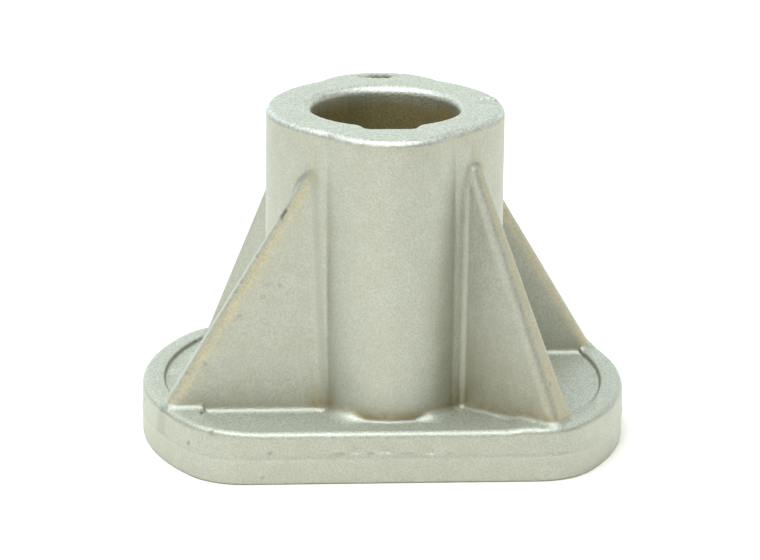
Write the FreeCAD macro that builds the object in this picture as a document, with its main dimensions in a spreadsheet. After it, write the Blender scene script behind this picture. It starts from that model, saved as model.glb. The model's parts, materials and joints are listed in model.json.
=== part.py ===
import FreeCAD, Part
import Sketcher
import math
import os

# Die-cast mower blade adapter: a flanged hub that slides on the engine's crankshaft and carries the blade.
# Frame: origin at the centre of the underside, +Z up along the bore, +X along the two flats.

doc = FreeCAD.newDocument("blade_adapter")
sheet = doc.addObject("Spreadsheet::Sheet", "sizes")

# Driving dimensions, in millimetres and degrees
driving_sizes = [
    ("overall_height", 50.5, "underside to hub rim"),
    ("hub_radius", 17.8, "round outside of the hub"),
    ("rim_round", 1.1, "outer edge of the hub rim"),
    ("lobe_radius", 10.65, "rounded lobe over the keyway, and its twin"),
    ("lobe_reach", 20.7, "axis to the crown of a lobe"),
    ("lobe_blend", 1.0, "hollow between a lobe and the round hub"),
    ("bore_radius", 11.11, "crankshaft bore, 7/8 in across"),
    ("mouth_round", 1.3, "rounded mouth of the bore at the hub rim"),
    ("lead_in", 0.8, "countersink round the bore at the underside"),
    ("key_width", 6.35, "keyway, 1/4 in wide"),
    ("key_reach", 12.6, "axis to the keyway floor"),
    ("key_corner_round", 0.8, "corners of the keyway floor"),
    ("key_edge_round", 1.5, "edges between keyway and bore"),
    ("base_radius", 36.5, "round ends of the base, at the parting line"),
    ("across_flats", 50.9, "front flat to back flat, at the parting line"),
    ("corner_radius", 10.0, "corners between flats and round ends"),
    ("base_thickness", 8.25, "underside to the raised rims"),
    ("parting_height", 3.9, "underside to the parting line"),
    ("draft_angle", 1.0, "slope of the base wall away from the parting line"),
    ("edge_round", 0.9, "upper edge of the base wall"),
    ("relief_radius", 33.05, "shallow round relief between the raised rims"),
    ("relief_depth", 0.6, "raised rims down to the relief floor"),
    ("rib_drop", 5.0, "hub rim down to the rib tops"),
    ("rib_top_thickness", 2.0, "ribs where they leave the hub"),
    ("rib_foot_thickness", 4.4, "ribs at the relief floor"),
    ("rib_edge_round", 0.9, "both corners of a rib's sloping edge"),
    ("rib_peak_land", 0.45, "hub face out to the start of the slope, at a rib top"),
    ("side_rib_offset", 12.9, "axis to the middle of a rib that lies along the flats"),
    ("side_rib_reach", 33.3, "axis to the toe of a rib that lies along the flats"),
    ("side_rib_root", 7.0, "axis to the buried end of that rib"),
    ("slant_rib_angle", 39.7, "turn of the slanted ribs from the flats"),
    ("slant_rib_offset", 2.3, "axis to the middle of a slanted rib"),
    ("slant_rib_reach", 34.4, "axis to the toe of a slanted rib"),
    ("slant_rib_root", 14.0, "axis to the buried end of that rib"),
]
for row, (alias, value, note) in enumerate(driving_sizes, start=1):
    sheet.set(f"A{row}", note)
    sheet.set(f"B{row}", str(value))
    sheet.setAlias(f"B{row}", alias)
doc.recompute()


def size(alias):
    return float(sheet.get(alias))


def bind(target, path, expression):
    target.setExpression(path, expression)


def origin_feature(body, role):
    return next(feature for feature in body.Origin.OriginFeatures if feature.Role == role)


def sketch_at(body, name, height):
    # A level sketch at a height above the underside
    sketch = body.newObject("Sketcher::SketchObject", name)
    sketch.AttachmentSupport = (origin_feature(body, "XY_Plane"), [""])
    sketch.MapMode = "FlatFace"
    bind(sketch, "AttachmentOffset.Base.z", height)
    return sketch


def point(x, y):
    return FreeCAD.Vector(x, y, 0)


def line(x_start, y_start, x_end, y_end):
    return Part.LineSegment(point(x_start, y_start), point(x_end, y_end))


def arc(x_centre, y_centre, radius, start, end):
    circle = Part.Circle(point(x_centre, y_centre), FreeCAD.Vector(0, 0, 1), radius)
    return Part.ArcOfCircle(circle, start, end)


START, END, CENTRE = range(1, 4)
ORIGIN = (-1, START)

# A rounded corner takes at most this share of its wall
ROUND_SHARE = 0.45

# Edges count as level within this height
LEVEL = 1e-4


def join(sketch, kind, first, second):
    sketch.addConstraint(Sketcher.Constraint(kind, *first, *second))


def drive(sketch, name, expression, kind, *places):
    # A dimension that follows the sheet
    index = sketch.addConstraint(Sketcher.Constraint(kind, *places))
    sketch.renameConstraint(index, name)
    bind(sketch, f"Constraints.{name}", expression)


def alike(sketch, first, *others):
    for other in others:
        sketch.addConstraint(Sketcher.Constraint("Equal", first, other))


def base_outline(body):
    # Round ends about the bore axis, two flats, and a corner arc between each pair
    sketch = sketch_at(body, "base_outline", "sizes.parting_height")
    radius = size("base_radius")
    flat = size("across_flats") / 2
    corner = size("corner_radius")
    across = flat - corner
    along = math.sqrt((radius - corner) ** 2 - across ** 2)
    turn = math.atan2(across, along)
    quarter = math.pi / 2
    sketch.addGeometry([
        line(-along, -flat, along, -flat),
        arc(along, -across, corner, -quarter, -turn),
        arc(0, 0, radius, -turn, turn),
        arc(along, across, corner, turn, quarter),
        line(along, flat, -along, flat),
        arc(-along, across, corner, quarter, math.pi - turn),
        arc(0, 0, radius, math.pi - turn, math.pi + turn),
        arc(-along, -across, corner, math.pi + turn, 3 * quarter),
    ])
    front, front_right, right, back_right, back, back_left, left, front_left = range(8)
    loop = [front, front_right, right, back_right, back, back_left, left, front_left]
    for here, following in zip(loop, loop[1:] + loop[:1]):
        join(sketch, "Tangent", (here, END), (following, START))
    for round_end in (right, left):
        join(sketch, "Coincident", (round_end, CENTRE), ORIGIN)
    for flat_side in (front, back):
        sketch.addConstraint(Sketcher.Constraint("Horizontal", flat_side))
    alike(sketch, right, left)
    alike(sketch, front_right, back_right, back_left, front_left)
    drive(sketch, "end_radius", "sizes.base_radius", "Radius", right, radius)
    drive(sketch, "corner_radius", "sizes.corner_radius", "Radius", front_right, corner)
    drive(sketch, "front_flat", "sizes.across_flats / 2", "DistanceY", front, START, *ORIGIN, flat)
    drive(sketch, "back_flat", "sizes.across_flats / 2", "DistanceY", *ORIGIN, back, START, flat)
    return sketch


def hub_outline(body):
    # Round hub with a lobe at front and back, blended by four hollow arcs
    sketch = sketch_at(body, "hub_outline", "0")
    hub = size("hub_radius")
    lobe = size("lobe_radius")
    blend = size("lobe_blend")
    lobe_centre = size("lobe_reach") - lobe
    blend_y = ((hub + blend) ** 2 - (lobe + blend) ** 2 + lobe_centre ** 2) / (2 * lobe_centre)
    blend_x = math.sqrt((hub + blend) ** 2 - blend_y ** 2)
    hub_turn = math.atan2(blend_y, blend_x)
    lobe_turn = math.atan2(blend_y - lobe_centre, blend_x)
    half_turn = math.pi
    sketch.addGeometry([
        arc(0, 0, hub, -hub_turn, hub_turn),
        arc(blend_x, blend_y, blend, half_turn + lobe_turn, half_turn + hub_turn),
        arc(0, lobe_centre, lobe, lobe_turn, half_turn - lobe_turn),
        arc(-blend_x, blend_y, blend, -hub_turn, -lobe_turn),
        arc(0, 0, hub, half_turn - hub_turn, half_turn + hub_turn),
        arc(-blend_x, -blend_y, blend, lobe_turn, hub_turn),
        arc(0, -lobe_centre, lobe, half_turn + lobe_turn, 2 * half_turn - lobe_turn),
        arc(blend_x, -blend_y, blend, half_turn - hub_turn, half_turn - lobe_turn),
    ])
    right, back_right, back, back_left, left, front_left, front, front_right = range(8)
    join(sketch, "Tangent", (right, END), (back_right, END))
    join(sketch, "Tangent", (back_right, START), (back, START))
    join(sketch, "Tangent", (back, END), (back_left, END))
    join(sketch, "Tangent", (back_left, START), (left, START))
    join(sketch, "Tangent", (left, END), (front_left, END))
    join(sketch, "Tangent", (front_left, START), (front, START))
    join(sketch, "Tangent", (front, END), (front_right, END))
    join(sketch, "Tangent", (front_right, START), (right, START))
    for hub_side in (right, left):
        join(sketch, "Coincident", (hub_side, CENTRE), ORIGIN)
    for lobe_side in (back, front):
        join(sketch, "Vertical", (lobe_side, CENTRE), ORIGIN)
    alike(sketch, right, left)
    alike(sketch, back, front)
    alike(sketch, back_right, back_left, front_left, front_right)
    centre = "sizes.lobe_reach - sizes.lobe_radius"
    drive(sketch, "hub_radius", "sizes.hub_radius", "Radius", right, hub)
    drive(sketch, "lobe_radius", "sizes.lobe_radius", "Radius", back, lobe)
    drive(sketch, "lobe_blend", "sizes.lobe_blend", "Radius", back_right, blend)
    drive(sketch, "back_lobe", centre, "DistanceY", *ORIGIN, back, CENTRE, lobe_centre)
    drive(sketch, "front_lobe", centre, "DistanceY", front, CENTRE, *ORIGIN, lobe_centre)
    return sketch


def bore_outline(body):
    # Bore with a shallow keyway at the front, all its corners rounded
    sketch = sketch_at(body, "bore_outline", "sizes.overall_height")
    bore = size("bore_radius")
    side = size("key_width") / 2
    floor = size("key_reach")
    corner = size("key_corner_round")
    edge = size("key_edge_round")
    edge_x = side + edge
    edge_y = math.sqrt((bore + edge) ** 2 - edge_x ** 2)
    edge_turn = math.atan2(edge_y, edge_x)
    half_turn = math.pi
    sketch.addGeometry([
        arc(0, 0, bore, -edge_turn, half_turn + edge_turn),
        arc(-edge_x, -edge_y, edge, 0, edge_turn),
        line(-side, -edge_y, -side, corner - floor),
        arc(corner - side, corner - floor, corner, half_turn, 1.5 * half_turn),
        line(corner - side, -floor, side - corner, -floor),
        arc(side - corner, corner - floor, corner, 1.5 * half_turn, 2 * half_turn),
        line(side, corner - floor, side, -edge_y),
        arc(edge_x, -edge_y, edge, half_turn - edge_turn, half_turn),
    ])
    wall, left_edge, left, left_corner, bottom, right_corner, right, right_edge = range(8)
    join(sketch, "Tangent", (wall, END), (left_edge, END))
    join(sketch, "Tangent", (left_edge, START), (left, START))
    join(sketch, "Tangent", (left, END), (left_corner, START))
    join(sketch, "Tangent", (left_corner, END), (bottom, START))
    join(sketch, "Tangent", (bottom, END), (right_corner, START))
    join(sketch, "Tangent", (right_corner, END), (right, START))
    join(sketch, "Tangent", (right, END), (right_edge, END))
    join(sketch, "Tangent", (right_edge, START), (wall, START))
    join(sketch, "Coincident", (wall, CENTRE), ORIGIN)
    for key_side in (left, right):
        sketch.addConstraint(Sketcher.Constraint("Vertical", key_side))
    sketch.addConstraint(Sketcher.Constraint("Horizontal", bottom))
    alike(sketch, left_edge, right_edge)
    alike(sketch, left_corner, right_corner)
    half_width = "sizes.key_width / 2"
    drive(sketch, "bore_radius", "sizes.bore_radius", "Radius", wall, bore)
    drive(sketch, "key_edge", "sizes.key_edge_round", "Radius", left_edge, edge)
    drive(sketch, "key_corner", "sizes.key_corner_round", "Radius", left_corner, corner)
    drive(sketch, "key_floor", "sizes.key_reach", "DistanceY", bottom, START, *ORIGIN, floor)
    drive(sketch, "key_left", half_width, "DistanceX", left, START, *ORIGIN, side)
    drive(sketch, "key_right", half_width, "DistanceX", *ORIGIN, right, START, side)
    return sketch


def rib(body, name, turn, side):
    # Drafted gusset: thick and long at the relief floor, thin where its top leaves the hub
    middle = f"{side} * sizes.{name}_offset"
    outer = f"(sizes.{name}_offset + sizes.rib_top_thickness / 2)"
    hub_face = f"sqrt(max(0; sizes.hub_radius ^ 2 - {outer} ^ 2))"
    wedge = body.newObject("PartDesign::AdditiveWedge", name)
    wedge.AttachmentSupport = (origin_feature(body, "XZ_Plane"), [""])
    wedge.MapMode = "FlatFace"
    wedge.AttachmentOffset = FreeCAD.Placement(point(0, 0), FreeCAD.Rotation(FreeCAD.Vector(0, 1, 0), 1))
    bind(wedge, "AttachmentOffset.Rotation.Angle", turn)
    bind(wedge, "Ymin", "sizes.base_thickness - sizes.relief_depth")
    bind(wedge, "Ymax", "sizes.overall_height - sizes.rib_drop")
    bind(wedge, "Xmin", f"sizes.{name}_root")
    bind(wedge, "Xmax", f"sizes.{name}_reach")
    bind(wedge, "X2min", f"sizes.{name}_root")
    bind(wedge, "X2max", f"{hub_face} + sizes.rib_peak_land")
    bind(wedge, "Zmin", f"-{middle} - sizes.rib_foot_thickness / 2")
    bind(wedge, "Zmax", f"-{middle} + sizes.rib_foot_thickness / 2")
    bind(wedge, "Z2min", f"-{middle} - sizes.rib_top_thickness / 2")
    bind(wedge, "Z2max", f"-{middle} + sizes.rib_top_thickness / 2")
    doc.recompute()
    return wedge


def toe_edges(feature):
    # Names of the edges that run down the toes of the ribs, further out at the foot than at the top
    names = []
    for number, edge in enumerate(feature.Shape.Edges, start=1):
        low, high = sorted((vertex.Point for vertex in edge.Vertexes), key=lambda place: place.z)
        spread = math.hypot(low.x, low.y) - math.hypot(high.x, high.y)
        if high.z - low.z > LEVEL and spread > size("hub_radius") / 2:
            names.append(f"Edge{number}")
    return names


def edges_at(feature, height, within=None):
    # Names of the edges that lie level at one height: all of them, or those inside a radius
    names = []
    for number, edge in enumerate(feature.Shape.Edges, start=1):
        box = edge.BoundBox
        if max(abs(box.ZMin - height), abs(box.ZMax - height)) > LEVEL:
            continue
        middle = edge.valueAt((edge.FirstParameter + edge.LastParameter) / 2)
        radius = math.hypot(middle.x, middle.y)
        if within is None or radius <= within:
            names.append(f"Edge{number}")
    return names


def fillet(body, name, base, edges, radius):
    feature = body.newObject("PartDesign::Fillet", name)
    feature.Base = (base, edges)
    bind(feature, "Radius", radius)
    doc.recompute()
    return feature


def slab(body, height):
    # Slab of the base outline, drafted both ways from its parting line, with a rounded upper edge
    pad = body.newObject("PartDesign::Pad", "slab")
    pad.Profile = base_outline(body)
    pad.SideType = "Two sides"
    bind(pad, "Length", f"{height} - sizes.parting_height")
    bind(pad, "Length2", "sizes.parting_height")
    bind(pad, "TaperAngle", "-sizes.draft_angle")
    bind(pad, "TaperAngle2", "-sizes.draft_angle")
    doc.recompute()
    return fillet(body, "slab_edge", pad, edges_at(pad, pad.Shape.BoundBox.ZMax), "sizes.edge_round")


# Raised rims: a slab of the full thickness with the round relief cut right through it
raised = doc.addObject("PartDesign::Body", "raised_rims")
slab(raised, "sizes.base_thickness")
relief_outline = sketch_at(raised, "relief_outline", "sizes.base_thickness")
relief_outline.addGeometry(Part.Circle(point(0, 0), FreeCAD.Vector(0, 0, 1), size("relief_radius")))
join(relief_outline, "Coincident", (0, CENTRE), ORIGIN)
drive(relief_outline, "relief_radius", "sizes.relief_radius", "Radius", 0, size("relief_radius"))
relief = raised.newObject("PartDesign::Pocket", "relief")
relief.Profile = relief_outline
bind(relief, "Length", "sizes.base_thickness")
doc.recompute()

# Base: a slab up to the relief floor, joined to the raised rims at its two ends
body = doc.addObject("PartDesign::Body", "blade_adapter")
body.Label = "blade_adapter"
slab(body, "sizes.base_thickness - sizes.relief_depth")
base = body.newObject("PartDesign::Boolean", "base")
base.Type = "Fuse"
base.setObjects([raised])
doc.recompute()

# Hub with its two lobes
hub = body.newObject("PartDesign::Pad", "hub")
hub.Profile = hub_outline(body)
bind(hub, "Length", "sizes.overall_height")
doc.recompute()
fillet(body, "rim", hub, edges_at(hub, size("overall_height")), "sizes.rim_round")

# Ribs: one along the flats and one slanted, with rounded toes, repeated half a turn on
gussets = doc.addObject("PartDesign::Body", "gussets")
rib(gussets, "side_rib", "0", 1)
slant_rib = rib(gussets, "slant_rib", "-sizes.slant_rib_angle", -1)
rib_round = f"min(sizes.rib_edge_round; sizes.rib_top_thickness * {ROUND_SHARE})"
fillet(gussets, "rib_toes", slant_rib, toe_edges(slant_rib), rib_round)
pattern = gussets.newObject("PartDesign::PolarPattern", "rib_pattern")
pattern.TransformMode = "Whole shape"
pattern.Axis = (origin_feature(gussets, "Z_Axis"), [""])
pattern.Angle = 360
pattern.Occurrences = 2
gussets.Tip = pattern
doc.recompute()
ribs = body.newObject("PartDesign::Boolean", "ribs")
ribs.Type = "Fuse"
ribs.setObjects([gussets])
doc.recompute()

# Bore and keyway, rounded at the top and countersunk at the underside
bore = body.newObject("PartDesign::Pocket", "bore")
bore.Profile = bore_outline(body)
bind(bore, "Length", "sizes.overall_height")
doc.recompute()
key_wall = size("key_reach") + LEVEL
fillet(body, "mouth", bore, edges_at(bore, size("overall_height"), within=key_wall), "sizes.mouth_round")
lead_in = body.newObject("PartDesign::SubtractiveCone", "lead_in")
bind(lead_in, "Radius1", "sizes.bore_radius + sizes.lead_in")
bind(lead_in, "Radius2", "sizes.bore_radius")
bind(lead_in, "Height", "sizes.lead_in")
body.Tip = lead_in
body.Placement = FreeCAD.Placement()
doc.recompute()

for item in doc.Objects:
    if "Invalid" in item.State or "Error" in item.State:
        raise RuntimeError(f"{item.Name} failed: {item.State}")
if body.Shape.isNull() or not body.Shape.isValid() or len(body.Shape.Solids) != 1:
    raise RuntimeError(f"{body.Label} is not one valid solid")
os.makedirs("parts", exist_ok=True)
body.Shape.exportStep(f"parts/{body.Label}.step")
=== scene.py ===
import bpy
import json
import math
import numpy as np
from mathutils import Matrix, Vector

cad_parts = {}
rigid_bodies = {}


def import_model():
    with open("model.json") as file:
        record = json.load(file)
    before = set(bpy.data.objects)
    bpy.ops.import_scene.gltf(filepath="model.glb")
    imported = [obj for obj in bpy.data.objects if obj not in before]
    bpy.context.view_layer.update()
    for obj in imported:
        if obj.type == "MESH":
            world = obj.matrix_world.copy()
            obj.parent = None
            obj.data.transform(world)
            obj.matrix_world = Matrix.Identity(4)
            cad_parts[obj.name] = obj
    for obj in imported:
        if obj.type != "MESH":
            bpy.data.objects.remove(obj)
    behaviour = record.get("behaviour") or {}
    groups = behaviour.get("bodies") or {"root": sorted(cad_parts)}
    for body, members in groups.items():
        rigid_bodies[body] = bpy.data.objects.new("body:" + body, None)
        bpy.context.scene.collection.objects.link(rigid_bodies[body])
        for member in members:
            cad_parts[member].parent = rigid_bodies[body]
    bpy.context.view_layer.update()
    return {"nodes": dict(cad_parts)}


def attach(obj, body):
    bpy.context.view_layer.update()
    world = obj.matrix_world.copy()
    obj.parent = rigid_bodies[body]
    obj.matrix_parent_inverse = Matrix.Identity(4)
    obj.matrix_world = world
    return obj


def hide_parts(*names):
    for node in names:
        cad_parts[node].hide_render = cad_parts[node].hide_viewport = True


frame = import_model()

scene = bpy.context.scene
scene.view_settings.view_transform = "Standard"
mm = 0.001


# meshes and their points

def link(obj):
    scene.collection.objects.link(obj)
    return obj


def evaluated(obj):
    shown = obj.evaluated_get(bpy.context.evaluated_depsgraph_get())
    return bpy.data.meshes.new_from_object(shown)


def readPoints(mesh):
    points = np.empty(len(mesh.vertices) * 3)
    mesh.vertices.foreach_get("co", points)
    return points.reshape(-1, 3)


def writePoints(mesh, points):
    mesh.vertices.foreach_set("co", points.astype(np.float32).ravel())
    mesh.update()


def addMask(mesh, name, values):
    layer = mesh.attributes.new(name, "FLOAT", "POINT")
    layer.data.foreach_set("value", values.astype(np.float32))


# forms: each gives a distance in mm, below zero inside the metal

def ease(x, low, high):
    t = np.clip((x - low) / (high - low), 0, 1)
    return t * t * (3 - 2 * t)


def hollow(a, b, radius):
    # two forms joined, with a hollow corner between them
    corner = np.hypot(np.maximum(radius - a, 0), np.maximum(radius - b, 0))
    return np.maximum(radius, np.minimum(a, b)) - corner


def rounded(a, b, radius):
    # what two forms share, with a rounded edge
    corner = np.hypot(np.maximum(a + radius, 0), np.maximum(b + radius, 0))
    return np.minimum(-radius, np.maximum(a, b)) + corner


def ripple(points, size, seed):
    # smooth unevenness between about -1 and 1, size mm across
    rng = np.random.default_rng(seed)
    total = np.zeros(len(points))
    for _ in range(7):
        way = rng.normal(size=3)
        way *= rng.uniform(0.7, 1.5) * 2 * math.pi / size / np.linalg.norm(way)
        total += np.sin(points @ way + rng.uniform(0, 6.3))
    return total / 3.5


# the cast body

castBody = {  # mm, degrees and shares; most pairs are where a change starts and ends
    "voxel": 0.22, "triangles": 190000, "guard": 0.08,
    "passes": 5, "leastSlope": 0.4, "longestMove": 0.5,
    "height": 50.5, "hubRadius": 17.8, "rimRound": 1.1,
    "lobeRadius": 10.65, "lobeCentre": 10.05, "lobeBlend": 1.6,
    "boreRadius": 11.11, "mouthRound": 1.35, "lowerMouthRound": 0.05, "leadIn": 0.8,
    "keyHalf": 3.45, "keyReach": 12.6, "keyCorner": 0.8, "keyEdge": 1.7,
    "endRadius": 36.5, "flat": 25.45, "cornerRadius": 10.0, "parting": 3.9, "draft": 1.0,
    "edgeRound": 0.95, "underRound": 0.35, "flash": 0.07, "flashWidth": 0.3,
    "rimHeight": 8.25, "floorHeight": 7.65, "reliefRadius": 33.05, "stepHalf": 0.2,
    "dish": 0.28, "dishRise": (20.5, 25.0),
    "hornSoft": 1.9, "hornFront": (8.0, 20.0), "hornBack": (18.0, 24.0), "hornRib": (14.6, 19.0),
    "bulge": 1.6, "bulgeStart": (12.3, 13.5), "bulgeEnd": (16.5, 22.0),
    "padSide": (0.639, 0.769),                          # sine and cosine of the slant
    "padStart": (16.6, 19.4), "padEdge": (2.0, 2.8),
    "ribTop": 45.5, "ribTopHalf": 1.55, "ribFootHalf": 2.4, "ribSink": 3.0,
    "ribRound": 1.45, "ribRoundLimit": 0.92, "ribTipRound": 1.4,
    "ribs": [  # turn, reach, peak, root, middle at the top, middle at the foot, hollow foot
        (0.0, 33.65, 11.2, 7.0, 12.35, 12.7, 0.95),
        (-39.3, 34.6, 17.85, 14.0, -1.98, -1.62, 0.65),
    ],
    "footStart": (7.0, 7.6), "footEnd": (41, 45), "footLoss": 0.8,
    "hubFoot": 0.6, "lobeFoot": 1.7, "lobeFootStart": (18, 34), "lobeFootEnd": (36, 78),
    "unevenness": 0.02, "unevenSize": 14,
}

# place, way it runs, half length, half width, depth, darkness (dirt and painted shade); raised
# marks get a painted highlight
castMarks = [
    # dent in the back lobe's rim
    ((-0.1, 17.45, 50.4), (1, 0, 0), 2.9, 1.25, 0.5, 1.0),
    # gouge and nicks in the left rib's edge
    ((-15.75, -13.3, 37.6), (0.5, 0, 0.87), 1.5, 0.7, 0.35, 0.9),
    ((-22.7, -13.7, 25.9), (0.5, 0, 0.87), 0.7, 0.5, 0.15, 0.4),
    ((-21.9, -13.7, 27.4), (0.5, 0, 0.87), 0.6, 0.45, 0.12, 0.3),
    ((-19.5, -13.5, 31.2), (0.5, 0, 0.87), 0.5, 0.4, 0.12, 0.3),
    ((-29.9, -14.2, 13.6), (0.5, 0, 0.87), 0.45, 0.4, 0.15, 0.4),
    # pits and faint specks on the left rib's side
    ((-27.2, -14.85, 15.3), (1, 0, 0), 0.5, 0.4, 0.1, 0.25),
    ((-22.0, -14.63, 22.5), (1, 0, 0), 0.4, 0.35, 0.1, 0.25),
    ((-14.65, -14.94, 12.6), (1, 0, 0), 0.4, 0.3, 0.08, 0.15),
    ((-17.6, -14.5, 27.4), (1, 0, 0.3), 0.8, 0.35, 0.06, 0.18),
    ((-16.1, -14.5, 27.0), (1, 0, -0.4), 0.5, 0.4, 0.06, 0.2),
    ((-18.6, -14.5, 25.4), (1, 0, 0.1), 0.5, 0.4, 0.06, 0.16),
    ((-15.0, -14.5, 25.9), (0, 0, 1), 0.4, 0.3, 0.05, 0.14),
    # pits in the base
    ((-29.8, -21.0, 5.1), (0, 0, 1), 0.5, 0.5, 0.15, 0.3),
    ((-17.9, -25.43, 5.0), (1, 0, 0), 0.5, 0.4, 0.12, 0.3),
    ((-26.6, -23.98, 7.6), (1, 0, 0), 0.6, 0.4, 0.15, 0.3),
    ((-27.7, -16.7, 8.2), (1, 0, 0), 0.4, 0.8, 0.08, 0.95),
    ((17.8, -20.7, 8.2), (0.77, -0.64, 0), 0.55, 0.4, 0.05, 0.5),
    ((-19.0, -25.4, 1.2), (1, 0, 0), 0.4, 0.3, 0.1, 0.2),
    # burr on the hub's rim, with a painted highlight
    ((15.1, 2.9, 50.5), (1, 0.25, 0), 1.9, 0.55, -0.5, 0.0),
    ((16.5, 2.5, 50.3), (0.2, 1, 0), 0.8, 0.5, -0.4, 0.0),
    # nick in the right rib's edge
    ((23.0, -21.8, 13.9), (0.5, -0.4, -0.77), 0.5, 0.35, 0.2, 0.2),
    # nicks in the round ends
    ((-36.3, -5.0, 6.2), (0, 1, 0), 0.5, 0.4, 0.25, 0.3),
    ((36.2, -4.0, 6.4), (0, 1, 0), 0.5, 0.4, 0.25, 0.3),
    # trimmed dashes above the parting line, the raised ones with a painted highlight and the sunk
    # ones darker
    ((-7.9, -25.43, 4.75), (1, 0, 0), 1.1, 0.3, 0.1, 0.3),
    ((-5.3, -25.43, 4.85), (1, 0, 0.05), 1.2, 0.28, -0.12, 0.0),
    ((-3.2, -25.43, 4.75), (1, 0, 0), 0.6, 0.25, 0.08, 0.25),
    ((-0.9, -25.43, 4.8), (1, 0, -0.05), 1.2, 0.28, -0.12, 0.0),
    ((2.4, -25.43, 4.75), (1, 0, 0), 1.2, 0.22, 0.07, 0.2),
    ((5.6, -25.43, 4.6), (1, 0, 0), 0.9, 0.25, -0.1, 0.0),
    ((8.2, -25.43, 4.55), (1, 0, 0), 0.4, 0.3, 0.08, 0.3),
]

# how ragged the marks are in mm, and how their depth, dirt with painted shade, and painted
# highlight fade, in half widths
markEdges = {
    "ragged": 0.22, "raggedSize": 0.9,
    "depth": (0.2, 1.1), "dirt": (0.3, 1.15), "shine": (0.4, 1.2),
}


def hubForm(x, y, z, p):
    x, y = abs(x), abs(y)
    reach, lobe, bend = p["hubRadius"], p["lobeRadius"], p["lobeBlend"]
    centre = p["lobeCentre"]
    bendY = ((reach + bend) ** 2 - (lobe + bend) ** 2 + centre ** 2) / (2 * centre)
    bendX = math.sqrt((reach + bend) ** 2 - bendY ** 2)
    u, v = x - bendX, y - bendY
    between = (bendY * u - bendX * v < 0) & (u * (centre - bendY) + bendX * v < 0)
    wall = np.minimum(np.hypot(x, y) - reach, np.hypot(x, y - centre) - lobe)
    wall = np.where(between, bend - np.hypot(u, v), wall)
    return rounded(wall, z - p["height"], p["rimRound"])


def boreForm(x, y, z, p):
    around = np.hypot(x, y)
    u = abs(x) - p["keyHalf"] + p["keyCorner"]
    v = -y - p["keyReach"] + p["keyCorner"]
    key = np.hypot(np.maximum(u, 0), np.maximum(v, 0))
    key = key + np.minimum(np.maximum(u, v), 0) - p["keyCorner"]
    hole = hollow(around - p["boreRadius"], np.maximum(key, y), p["keyEdge"])
    return np.minimum(hole, (around - p["boreRadius"] - p["leadIn"] + z) * math.sqrt(0.5))


def topHeight(x, y, p):
    # raised rims, relief floor, and the soft places where they meet; half a turn on it repeats
    fade = np.where(y < 0, ease(-y, *p["hornFront"]), ease(y, *p["hornBack"]))
    x = np.where(y < 0, x, -x)
    y = abs(y)
    nearFlat = np.where(x < 0, ease(y, *p["hornRib"]), fade)
    inward = p["bulge"] * ease(y, *p["bulgeStart"]) * (1 - ease(y, *p["bulgeEnd"])) * (x < 0)
    soft = p["stepHalf"] + p["hornSoft"] * nearFlat
    edge = p["reliefRadius"] - inward
    rim = ease(np.hypot(x, y), edge - soft, edge + soft)
    beside = p["padSide"][0] * x - p["padSide"][1] * y  # which side of the slanted rib
    pad = ease(x, *p["padStart"]) * ease(-beside, *p["padEdge"])
    raised = np.maximum(rim, pad)
    dish = p["dish"] * ease(y, *p["dishRise"])
    step = p["rimHeight"] - p["floorHeight"]
    return p["floorHeight"] + dish * (1 - raised) + step * raised


def baseForm(x, y, z, p):
    u, v = abs(x), abs(y)
    reach = p["endRadius"] - p["cornerRadius"]
    across = p["flat"] - p["cornerRadius"]
    along = math.sqrt(reach ** 2 - across ** 2)
    corner = (u > along) & (v * along > u * across)
    wall = np.maximum(v - across, np.hypot(u, v) - reach)
    wall = np.where(corner, np.hypot(u - along, v - across), wall) - p["cornerRadius"]
    wall = wall + math.tan(math.radians(p["draft"])) * abs(z - p["parting"])
    wall = wall - p["flash"] * np.exp(-((z - p["parting"]) / p["flashWidth"]) ** 2)
    level = topHeight(x, y, p)
    step = 0.01
    slopeX = (topHeight(x + step, y, p) - level) / step
    slopeY = (topHeight(x, y + step, p) - level) / step
    top = (z - level) / np.sqrt(1 + slopeX ** 2 + slopeY ** 2)
    return rounded(rounded(wall, top, p["edgeRound"]), -z, p["underRound"])


def ribForm(x, y, z, p, rib):
    turn, reach, peak, root, topMiddle, footMiddle, _ = rib
    c, s = math.cos(math.radians(turn)), math.sin(math.radians(turn))
    tall = p["ribTop"] - p["floorHeight"]
    up = np.maximum(z - p["floorHeight"], 0) / tall     # straight down inside the base
    out = x * c + y * s
    aside = y * c - x * s - footMiddle - (topMiddle - footMiddle) * up
    half = p["ribFootHalf"] - (p["ribFootHalf"] - p["ribTopHalf"]) * up
    edge = np.minimum(p["ribRound"], p["ribRoundLimit"] * half)
    toe = (out - reach + (reach - peak) * up) * math.cos(math.atan((reach - peak) / tall))
    blade = rounded(rounded(abs(aside) - half, toe, edge), z - p["ribTop"], p["ribTipRound"])
    buried = np.maximum(root - out, p["floorHeight"] - p["ribSink"] - z)
    return np.maximum(blade, buried), aside, half, toe


def castParts(points, p):
    x, y, z = points.T
    ribs = [ribForm(way * x, way * y, z, p, rib) for rib in p["ribs"] for way in (1, -1)]
    feet = [rib[-1] for rib in p["ribs"] for way in (1, -1)]
    return baseForm(x, y, z, p), hubForm(x, y, z, p), ribs, feet


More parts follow.
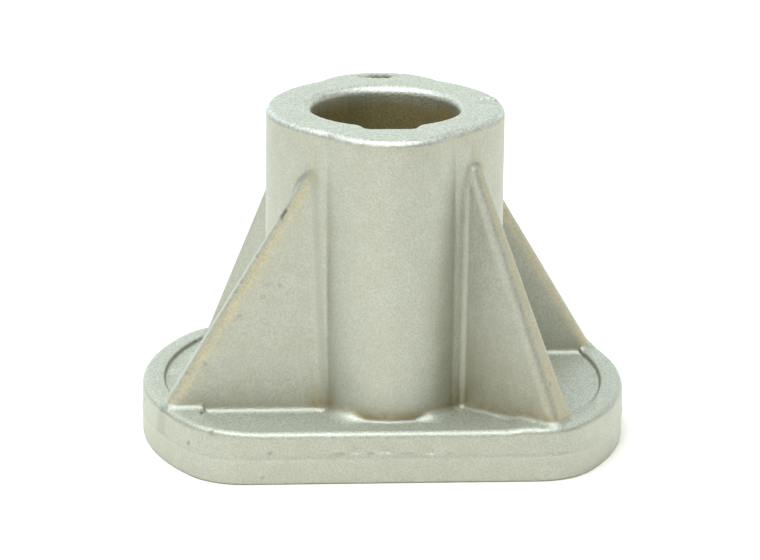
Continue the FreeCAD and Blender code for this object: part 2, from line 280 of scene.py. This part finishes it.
def castForm(points, p):
    x, y, z = points.T
    base, hub, ribs, feet = castParts(points, p)
    # fuller hollows on both sides of each lobe's foot
    lean = np.degrees(abs(np.arctan2(x, abs(y) - p["lobeCentre"])))
    fuller = p["lobeFoot"] * ease(lean, *p["lobeFootStart"])
    fuller = fuller * (1 - ease(lean, *p["lobeFootEnd"])) * (abs(y) > p["lobeCentre"])
    body = hollow(base, hub, p["hubFoot"] + fuller)
    for rib, foot in zip(ribs, feet):
        # none inside the base, and little at the rib's tip
        foot = foot * ease(z, *p["footStart"]) * (1 - p["footLoss"] * ease(z, *p["footEnd"]))
        body = hollow(body, rib[0], foot)
    body = np.maximum(body, -z)
    mouth = np.where(z > p["height"] / 2, p["mouthRound"], p["lowerMouthRound"])
    return rounded(body, -boreForm(x, y, z, p), mouth)


def formSlope(points, value, p):
    step = 0.02
    slope = np.empty_like(points)
    for axis in range(3):
        moved = points.copy()
        moved[:, axis] += step
        slope[:, axis] = (castForm(moved, p) - value) / step
    return slope


def evened(points, edges):
    # each point half way to the middle of its neighbours
    count = np.bincount(edges.ravel(), minlength=len(points))
    middle = np.empty_like(points)
    for axis in range(3):
        ends = points[edges[::-1], axis].ravel()
        middle[:, axis] = np.bincount(edges.ravel(), ends, len(points)) / count
    return (points + middle) / 2


def settle(mesh, p):
    # bring the points onto the form's skin, evenly spread
    points = readPoints(mesh)
    edges = np.empty(len(mesh.edges) * 2, int)
    mesh.edges.foreach_get("vertices", edges)
    edges = edges.reshape(-1, 2).T
    for turn in range(p["passes"]):
        points = evened(points, edges) if turn else points
        value = castForm(points, p)
        slope = formSlope(points, value, p)
        shift = value / np.maximum((slope ** 2).sum(1), p["leastSlope"])
        shift = np.clip(shift, -p["longestMove"], p["longestMove"])
        points = points - shift[:, None] * slope
    return points, slope / np.linalg.norm(slope, axis=1)[:, None]


def makeBlank(p):
    # the CAD shape in mm, in fine even faces
    blank = frame["nodes"]["blade_adapter"].data.copy()
    blank.transform(Matrix.Scale(1 / mm, 4))
    holder = link(bpy.data.objects.new("castBlank", blank))
    fine = holder.modifiers.new("fine", "REMESH")
    fine.mode = "VOXEL"
    fine.voxel_size = p["voxel"]
    mesh = evaluated(holder)
    bpy.data.objects.remove(holder)
    return mesh


def markCast(points, outward, marks, p):
    # dents, pits and nicks with ragged edges, the dirt and painted shade in them, and a painted
    # highlight on raised ones
    dirt = np.zeros(len(points))
    shine = np.zeros(len(points))
    ragged = p["ragged"] * ripple(points, p["raggedSize"], 8)
    for place, way, length, width, depth, dark in marks:
        way = np.array(way, float) / np.linalg.norm(way)
        gap = points - np.array(place)
        along = gap @ way
        aside = ((gap - along[:, None] * way) ** 2).sum(1) / width ** 2
        off = np.sqrt((along / length) ** 2 + aside) + ragged
        points = points - outward * (depth * (1 - ease(off, *p["depth"])))[:, None]
        dirt = np.maximum(dirt, dark * (1 - ease(off, *p["dirt"])))
        if depth < 0:
            shine = np.maximum(shine, 1 - ease(off, *p["shine"]))
    return points, dirt, shine


# wear of each rib, the two side ribs first and then the slanted ones:
# worn side, band across in half widths, band below the sloping edge, rubbed share, share of brown
# stain and painted shade
ribWear = [
    (-1, (-0.8, -0.45), (-1.7, -1.0), 0.8, 0.2),
    (1, (-0.6, -0.25), (-1.9, -1.2), 0.9, 0.15),
    (1, (-1.8, -1.1), (-1.4, -0.7), 0.7, 0.8),
    (1, (-0.8, -0.5), (-1.7, -1.0), 0.15, 0.2),
]

castWear = {  # mm, shares, or rise of the facing: 0 for a wall, 1 for a top
    "onHub": 0.1, "onRib": 0.3, "wall": (0.25, 0.6),
    "rimRub": 0.25, "rimRubWall": (0.3, 0.6),
    "rimRubStart": (48.8, 49.2), "rimRubEnd": (49.3, 49.6),
    "tipStart": 1.6, "tipFull": 0.5, "rubAbove": 9,
    "hubStainAndShade": (0.4, 2.4), "stainAndShadeSpread": (0.3, 3.2), "stainAndShadeEnd": (8.6, 13.5),
    "hazeAndShade": 0.3, "hazeAndShadeRib": 2, "hazeAndShadeShare": (0.3, 0.7), "hazeAndShadeEnd": (9.0, 24.0),
    "cornerShadeSpread": (0.3, 0.6),
    "inBore": 0.4, "sootAndShadeTop": (48.5, 49.3), "sootAndShadeFoot": (0.5, 1.5),
    "stepShade": 0.5, "stepNear": 0.8, "stepSide": 17.5, "stepMiddle": 7.95, "stepTall": 0.45,
    "stepWall": (0.5, 0.92), "stepClear": (0.8, 1.5),
    "edgeStart": (0.15, 0.45), "edgeEnd": (0.8, 0.97),
    "baseWearAndHighlight": 0.1, "baseInset": 1.4, "baseAbove": 6.8, "baseOver": 0.2, "baseClear": 1.2,
    "rimAbove": 49, "rimClear": 2.5,
    "mouthHighlight": 0.8, "mouthAbove": 48.9, "mouthNear": 2.0, "mouthBack": (-4.0, 6.0),
    "upward": (0.6, 0.95),
}


def rubMask(z, rise, hub, ribs, p, wear):
    # tan rub under the hub's rim and along the ribs' sloping edges, and the share that gets brown
    # stain and painted shade
    under = ease(z, *wear["rimRubStart"]) * (1 - ease(z, *wear["rimRubEnd"]))
    under = under * (1 - ease(rise, *wear["rimRubWall"]))
    rub = wear["rimRub"] * under * (abs(hub) < wear["onHub"])
    share = 1 - ease(hub, *wear["hubStainAndShade"])
    tip = ease(z, p["ribTop"] - wear["tipStart"], p["ribTop"] - wear["tipFull"])
    for (blade, aside, half, toe), (side, across, below, rubbed, stainedAndShaded) in zip(ribs, ribWear):
        close = abs(blade) < wear["onRib"]
        strip = ease(side * aside / half - 1, *across) * ease(toe, *below)
        rub = np.maximum(rub, rubbed * np.maximum(strip, tip) * close * (z > wear["rubAbove"]))
        share = np.maximum(share, stainedAndShaded * close)
    return rub, share


def stainAndShadeMask(z, rise, nearest, share, rib, p, wear):
    # brown stain and painted shade on the walls above the foot corners, and a brown haze with
    # painted shade on one slanted rib
    wall = 1 - ease(rise, *wear["wall"])
    above = z > p["rimHeight"]
    stain = share * (1 - ease(nearest, *wear["stainAndShadeSpread"])) * wall
    stain = stain * above * (1 - ease(z, *wear["stainAndShadeEnd"]))
    hazeAndShade = ease(share, *wear["hazeAndShadeShare"]) * (abs(rib[0]) < wear["onRib"]) * wall
    return np.maximum(stain, wear["hazeAndShade"] * hazeAndShade * above * (1 - ease(z, *wear["hazeAndShadeEnd"])))


def stepMask(x, y, z, rise, nearest, p, wear):
    # painted shade along the hollow corner of the rims' step
    step = abs(np.hypot(x, y) - p["reliefRadius"]) < wear["stepNear"]
    step = step * (abs(y) < wear["stepSide"]) * (abs(z - wear["stepMiddle"]) < wear["stepTall"])
    groove = step * (1 - ease(rise, *wear["stepWall"])) * ease(nearest, *wear["stepClear"])
    return wear["stepShade"] * groove


def wearAndHighlightMask(x, y, z, rise, nearest, hub, bore, p, wear):
    # bare-metal wear and painted highlight on the rounded edges of base, hub rim and the back of
    # the mouth
    edge = ease(rise, *wear["edgeStart"]) * (1 - ease(rise, *wear["edgeEnd"]))
    inside = baseForm(x, y, np.full_like(z, p["parting"]), p)
    outer = (inside > -wear["baseInset"]) * (z > wear["baseAbove"])
    outer = outer * (z < p["rimHeight"] + wear["baseOver"]) * (nearest > wear["baseClear"])
    top = (abs(hub) < wear["onHub"]) * (z > wear["rimAbove"]) * (bore > wear["rimClear"])
    mouth = wear["mouthHighlight"] * (z > wear["mouthAbove"]) * (bore < wear["mouthNear"])
    mouth = mouth * ease(y, *wear["mouthBack"])
    return edge * np.maximum(np.maximum(wear["baseWearAndHighlight"] * outer, top), mouth)


def castMasks(points, outward, p, wear):
    x, y, z = points.T
    rise = outward[:, 2]
    base, hub, ribs, _ = castParts(points, p)
    bore = boreForm(x, y, z, p)
    skins = [abs(base), abs(hub)] + [abs(rib[0]) for rib in ribs]
    nearest = np.sort(np.stack(skins), axis=0)[1]       # way to the next form, small in a corner
    rub, share = rubMask(z, rise, hub, ribs, p, wear)
    # soot with painted shade on the bore's wall
    soot = (bore < wear["inBore"]) * (1 - ease(z, *wear["sootAndShadeTop"])) * ease(z, *wear["sootAndShadeFoot"])
    return {
        "rub": rub,
        "stain": stainAndShadeMask(z, rise, nearest, share, ribs[wear["hazeAndShadeRib"]], p, wear),
        # painted shade in the corners between forms
        "dull": 1 - ease(nearest, *wear["cornerShadeSpread"]),
        "soot": soot,
        "dirt": stepMask(x, y, z, rise, nearest, p, wear),
        "shine": wearAndHighlightMask(x, y, z, rise, nearest, hub, bore, p, wear),
        "upward": ease(rise, *wear["upward"]),
    }


def thin(mesh, guarded, p):
    # fewer faces, none lost where a mark's dirt, painted shade or highlight, or the stain with its
    # painted shade has to stay sharp
    holder = link(bpy.data.objects.new("castFine", mesh))
    free = holder.vertex_groups.new(name="free")
    for weight, chosen in ((0.0, guarded), (1.0, ~guarded)):
        free.add(np.flatnonzero(chosen).tolist(), weight, "REPLACE")
    cut = holder.modifiers.new("thin", "DECIMATE")
    cut.vertex_group = "free"
    cut.ratio = p["triangles"] / (2 * len(mesh.polygons))
    slim = evaluated(holder)
    bpy.data.objects.remove(holder)
    return slim


def makeCast(p):
    mesh = makeBlank(p)
    points, outward = settle(mesh, p)
    print("cast form settled:", len(points), "points")
    masks = castMasks(points, outward, p, castWear)
    points = points + outward * (p["unevenness"] * ripple(points, p["unevenSize"], 4))[:, None]
    points, dirt, shine = markCast(points, outward, castMarks, markEdges)
    writePoints(mesh, points)
    masks["dirt"] = np.maximum(dirt, masks["dirt"])
    masks["shine"] = np.maximum(masks["shine"], shine)
    for name in sorted(masks):
        addMask(mesh, name, masks[name])
    slim = thin(mesh, np.maximum(np.maximum(dirt, shine), masks["stain"]) > p["guard"], p)
    slim.transform(Matrix.Scale(mm, 4))
    slim.shade_smooth()
    cast = link(bpy.data.objects.new("castBody", slim))
    print("cast body:", len(slim.polygons), "faces")
    return cast


cast = makeCast(castBody)
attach(cast, "root")
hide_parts("blade_adapter")


# finishes

def newMaterial(name):
    material = bpy.data.materials.new(name)
    material.use_nodes = True
    tree = material.node_tree
    return material, tree, tree.nodes["Principled BSDF"]


def add(tree, kind, links=(), **settings):
    # a node with its settings, its socket values and its incoming links
    node = tree.nodes.new(kind)
    for key, value in settings.items():
        if hasattr(node, key):
            setattr(node, key, value)
        else:
            node.inputs[key.replace("_", " ")].default_value = value
    for socket, source in dict(links).items():
        tree.links.new(source, node.inputs[socket])
    return node


def band(tree, source, low, high):
    # soft change from 0 at low to 1 at high
    node = add(tree, "ShaderNodeMapRange", {"Value": source}, interpolation_type="SMOOTHSTEP")
    node.inputs["From Min"].default_value = low
    node.inputs["From Max"].default_value = high
    return node.outputs["Result"]


def span(tree, source, low, high):
    # 0 to 1 stretched from low to high
    node = add(tree, "ShaderNodeMapRange", {"Value": source})
    node.inputs["To Min"].default_value = low
    node.inputs["To Max"].default_value = high
    return node.outputs["Result"]


def times(tree, first, second):
    node = add(tree, "ShaderNodeMath", {0: first}, operation="MULTIPLY")
    if isinstance(second, (int, float)):
        node.inputs[1].default_value = second
    else:
        tree.links.new(second, node.inputs[1])
    return node.outputs[0]


def plus(tree, start, more, share):
    # start and a share of more
    node = add(tree, "ShaderNodeMath", {0: more, 2: start}, operation="MULTIPLY_ADD")
    node.inputs[1].default_value = share
    return node.outputs[0]


def tint(tree, factor, first, second):
    node = add(tree, "ShaderNodeMix", {0: factor}, data_type="RGBA")
    for socket, colour in ((6, first), (7, second)):
        if isinstance(colour, tuple):
            node.inputs[socket].default_value = colour
        else:
            tree.links.new(colour, node.inputs[socket])
    return node.outputs[2]


sandSkin = {
    "scales": (("Grain Scale", 4.0), ("Mottle Scale", 0.3)),
    "grainDetail": 2.0, "mottleDetail": 3.0, "roughness": 0.6,
    "mottle": (0.3, 0.7), "flecks": (0.62, 0.36),
}


def makeSandGrain(p):
    # sandy skin of a die casting: height, soft mottle and fine flecks
    group = bpy.data.node_groups.new("sandGrain", "ShaderNodeTree")
    for name, start in p["scales"]:
        socket = group.interface.new_socket(name, in_out="INPUT", socket_type="NodeSocketFloat")
        socket.default_value = start
    for name in ("Height", "Mottle", "Flecks"):
        group.interface.new_socket(name, in_out="OUTPUT", socket_type="NodeSocketFloat")
    given = group.nodes.new("NodeGroupInput")
    result = group.nodes.new("NodeGroupOutput")
    place = add(group, "ShaderNodeTexCoord")
    scaled = add(group, "ShaderNodeVectorMath", {0: place.outputs["Object"]}, operation="SCALE")
    scaled.inputs["Scale"].default_value = 1 / mm
    where = scaled.outputs[0]
    grain = add(group, "ShaderNodeTexNoise",
                {"Vector": where, "Scale": given.outputs["Grain Scale"]},
                Detail=p["grainDetail"], Roughness=p["roughness"])
    mottle = add(group, "ShaderNodeTexNoise",
                 {"Vector": where, "Scale": given.outputs["Mottle Scale"]},
                 Detail=p["mottleDetail"], Roughness=p["roughness"])
    soft = band(group, mottle.outputs["Fac"], *p["mottle"])
    flecks = band(group, grain.outputs["Fac"], *p["flecks"])
    group.links.new(grain.outputs["Fac"], result.inputs["Height"])
    group.links.new(soft, result.inputs["Mottle"])
    group.links.new(flecks, result.inputs["Flecks"])
    return group


sandGrain = makeSandGrain(sandSkin)

castFinish = {
    "light": (0.535, 0.54, 0.47, 1),
    "dark": (0.505, 0.505, 0.43, 1),
    # darker metal for flecks and for painted shade in corners
    "fleckAndCornerShade": (0.36, 0.365, 0.315, 1),
    # brown for stain and for painted shade above the foot corners
    "stain": (0.40, 0.28, 0.10, 1),
    "rub": (0.66, 0.565, 0.35, 1),
    # pale for bare-metal wear and painted highlights on edges and raised marks
    "wornAndHighlight": (0.74, 0.76, 0.73, 1),
    # near black for dirt and painted shade in marks and along the rim step
    "dirt": (0.09, 0.07, 0.03, 1),
    # brown for the bore's soot and painted shade, then a lighter tan for one side
    "brown": (0.33, 0.33, 0.19, 1),
    "lighterTan": (0.72, 0.57, 0.31, 1),
    "grain": (3.3, 0.35), "smudge": (1.3, 0.9),         # grain and mottle scale
    "grainDepth": 0.00008, "sootAndShadeSmooth": (1.3, 0.0),
    "stainShare": 0.85, "stainPatches": (-0.8, 1.0),
    "rubShare": 0.75, "rubPatches": (-0.6, 0.8),
    "wornAndHighlightShare": 0.7, "wornAndHighlightPatches": (0.25, 0.6),
    "cornerShadeShare": 0.5, "fleckShare": (0.5, 1.0),
    "roughness": (0.42, 0.58), "upwardRough": 0.2, "dirtAndShadeRough": 0.35,
    "metal": (1.0, 0.1),                                # clean, dirt and painted shade
    "streakStretch": (700, 700, 120), "streakScale": 0.6, "streakDetail": 4.0, "streakRough": 0.65,
    "lighterTanSide": (-0.001, 0.012), "lighterTanFlecks": 0.6, "lighterTanPatches": (0.45, 1.95),
}


def boreColour(tree, flecks, p):
    # brown soot and painted shade with upright streaks and flecks, lighter and more tan on one
    # side
    place = add(tree, "ShaderNodeTexCoord").outputs["Object"]
    drawn = add(tree, "ShaderNodeVectorMath", {0: place}, operation="MULTIPLY")
    drawn.inputs[1].default_value = p["streakStretch"]
    streaks = add(tree, "ShaderNodeTexNoise", {"Vector": drawn.outputs[0]},
                  Scale=p["streakScale"], Detail=p["streakDetail"], Roughness=p["streakRough"])
    across = add(tree, "ShaderNodeSeparateXYZ", {0: place})
    side = band(tree, across.outputs["X"], *p["lighterTanSide"])
    lit = add(tree, "ShaderNodeMath", {0: side, 1: streaks.outputs["Fac"]}, operation="ADD")
    speckled = plus(tree, lit.outputs[0], flecks, p["lighterTanFlecks"])
    return tint(tree, band(tree, speckled, *p["lighterTanPatches"]), p["brown"], p["lighterTan"])


def patchy(tree, mask, source, patches, share):
    return times(tree, times(tree, mask, band(tree, source, *patches)), share)


def castColour(tree, grain, smudge, mask, p):
    # bare metal first, then stain with painted shade, rub, painted corner shade, wear with painted
    # highlight, flecks, dirt with painted shade, and the bore's soot with painted shade over it
    colour = tint(tree, grain["Mottle"], p["dark"], p["light"])
    for name in ("stain", "rub"):
        laid = patchy(tree, mask[name], smudge["Mottle"], p[name + "Patches"], p[name + "Share"])
        colour = tint(tree, laid, colour, p[name])
    # painted shade in the corners, in the fleck colour
    colour = tint(tree, times(tree, mask["dull"], p["cornerShadeShare"]), colour, p["fleckAndCornerShade"])
    wornAndHighlight = patchy(tree, mask["shine"], smudge["Height"], p["wornAndHighlightPatches"], p["wornAndHighlightShare"])
    colour = tint(tree, wornAndHighlight, colour, p["wornAndHighlight"])
    sparkle = span(tree, mask["upward"], *p["fleckShare"])
    colour = tint(tree, times(tree, grain["Flecks"], sparkle), colour, p["fleckAndCornerShade"])
    colour = tint(tree, mask["dirt"], colour, p["dirt"])
    return tint(tree, mask["soot"], colour, boreColour(tree, grain["Flecks"], p))


def makeCastFinish(p):
    material, tree, shader = newMaterial("castMetal")
    grain, smudge = (
        add(tree, "ShaderNodeGroup", node_tree=sandGrain,
            Grain_Scale=fine, Mottle_Scale=broad).outputs
        for fine, broad in (p["grain"], p["smudge"]))
    names = ("stain", "rub", "soot", "dirt", "dull", "shine", "upward")
    mask = {name: add(tree, "ShaderNodeAttribute", attribute_name=name).outputs["Fac"]
            for name in names}
    colour = castColour(tree, grain, smudge, mask, p)
    tree.links.new(colour, shader.inputs["Base Color"])
    rough = span(tree, grain["Height"], *p["roughness"])
    rough = plus(tree, rough, mask["upward"], p["upwardRough"])
    rough = plus(tree, rough, mask["dirt"], p["dirtAndShadeRough"])
    tree.links.new(rough, shader.inputs["Roughness"])
    height = times(tree, grain["Height"], band(tree, mask["soot"], *p["sootAndShadeSmooth"]))
    bump = add(tree, "ShaderNodeBump", {"Height": height}, Strength=1.0, Distance=p["grainDepth"])
    tree.links.new(bump.outputs["Normal"], shader.inputs["Normal"])
    tree.links.new(span(tree, mask["dirt"], *p["metal"]), shader.inputs["Metallic"])
    return material


cast.data.materials.clear()
cast.data.materials.append(makeCastFinish(castFinish))
print("finish done")


# floor, light and camera

floorSheet = {"half": 4.0, "colour": (0.9, 0.86, 0.81, 1), "roughness": 0.8}


def makeFloor(p):
    half = p["half"]
    corners = [(-half, -half, 0), (half, -half, 0), (half, half, 0), (-half, half, 0)]
    mesh = bpy.data.meshes.new("floorSheet")
    mesh.from_pydata(corners, [], [(0, 1, 2, 3)])
    floor = link(bpy.data.objects.new("floorSheet", mesh))
    material, _, shader = newMaterial("paleFloor")
    shader.inputs["Base Color"].default_value = p["colour"]
    shader.inputs["Roughness"].default_value = p["roughness"]
    mesh.materials.append(material)


makeFloor(floorSheet)

studio = {
    "sky": (1.0, 0.98, 0.92, 1),
    "skyPower": 0.2,
    "aim": (0, 0, 0.02),
    "lights": [  # name, place, width, depth, watts, colour
        ("topBox", (-0.15, -0.2, 1.0), 2.0, 1.5, 20.5, (0.88, 0.97, 1.0)),
        ("keyBox", (-0.1, -0.1, 0.8), 0.7, 0.5, 3.0, (0.88, 0.97, 1.0)),
        ("backBox", (0.0, 1.1, 0.5), 2.6, 0.8, 13.5, (0.83, 0.97, 1.0)),
        ("leftBox", (-1.25, -0.1, 0.35), 1.0, 0.7, 1.3, (0.95, 0.98, 0.95)),
        ("rightBox", (1.25, 0.1, 0.35), 1.0, 0.7, 2.2, (0.97, 0.97, 0.9)),
        ("frontBox", (-0.4, -1.2, 0.5), 1.3, 0.8, 2.4, (1.0, 0.94, 0.76)),
    ],
}


def lightStudio(p):
    world = bpy.data.worlds.new("studio")
    scene.world = world
    world.use_nodes = True
    sky = world.node_tree.nodes["Background"]
    sky.inputs["Color"].default_value = p["sky"]
    sky.inputs["Strength"].default_value = p["skyPower"]
    for name, place, width, depth, watts, colour in p["lights"]:
        lamp = bpy.data.lights.new(name, "AREA")
        lamp.shape = "RECTANGLE"
        lamp.size, lamp.size_y = width, depth
        lamp.energy = watts
        lamp.color = colour
        box = link(bpy.data.objects.new(name, lamp))
        box.visible_camera = False
        box.location = place
        way = Vector(p["aim"]) - Vector(place)
        box.rotation_euler = way.to_track_quat("-Z", "Y").to_euler()


lightStudio(studio)

cameraSetup = {
    "turn": -3.644, "rise": 17.512, "roll": 0.613,               # degrees
    "distance": 542.463, "aimAcross": -0.539, "aimUp": 23.198,   # mm
    "focus": 3592.0, "width": 760,                               # pixels
    "sensor": 36,
}


def placeCamera(p):
    turn, rise, roll = (math.radians(p[key]) for key in ("turn", "rise", "roll"))
    level = Vector((math.cos(turn), math.sin(turn), 0))
    back = Vector((math.sin(turn), -math.cos(turn), 0)) * math.cos(rise)
    back.z = math.sin(rise)
    upright = back.cross(level)
    right = level * math.cos(roll) + upright * math.sin(roll)
    up = upright * math.cos(roll) - level * math.sin(roll)
    aim = Vector((0, 0, p["aimUp"])) + level * p["aimAcross"]
    eye = (aim + back * p["distance"]) * mm
    camera = bpy.data.cameras.new("photoView")
    camera.lens = p["focus"] / p["width"] * p["sensor"]
    camera.sensor_width = p["sensor"]
    holder = link(bpy.data.objects.new("photoView", camera))
    facing = Matrix((right, up, back)).transposed().to_4x4()
    holder.matrix_world = Matrix.Translation(eye) @ facing
    scene.camera = holder


placeCamera(cameraSetup)
print("studio ready")
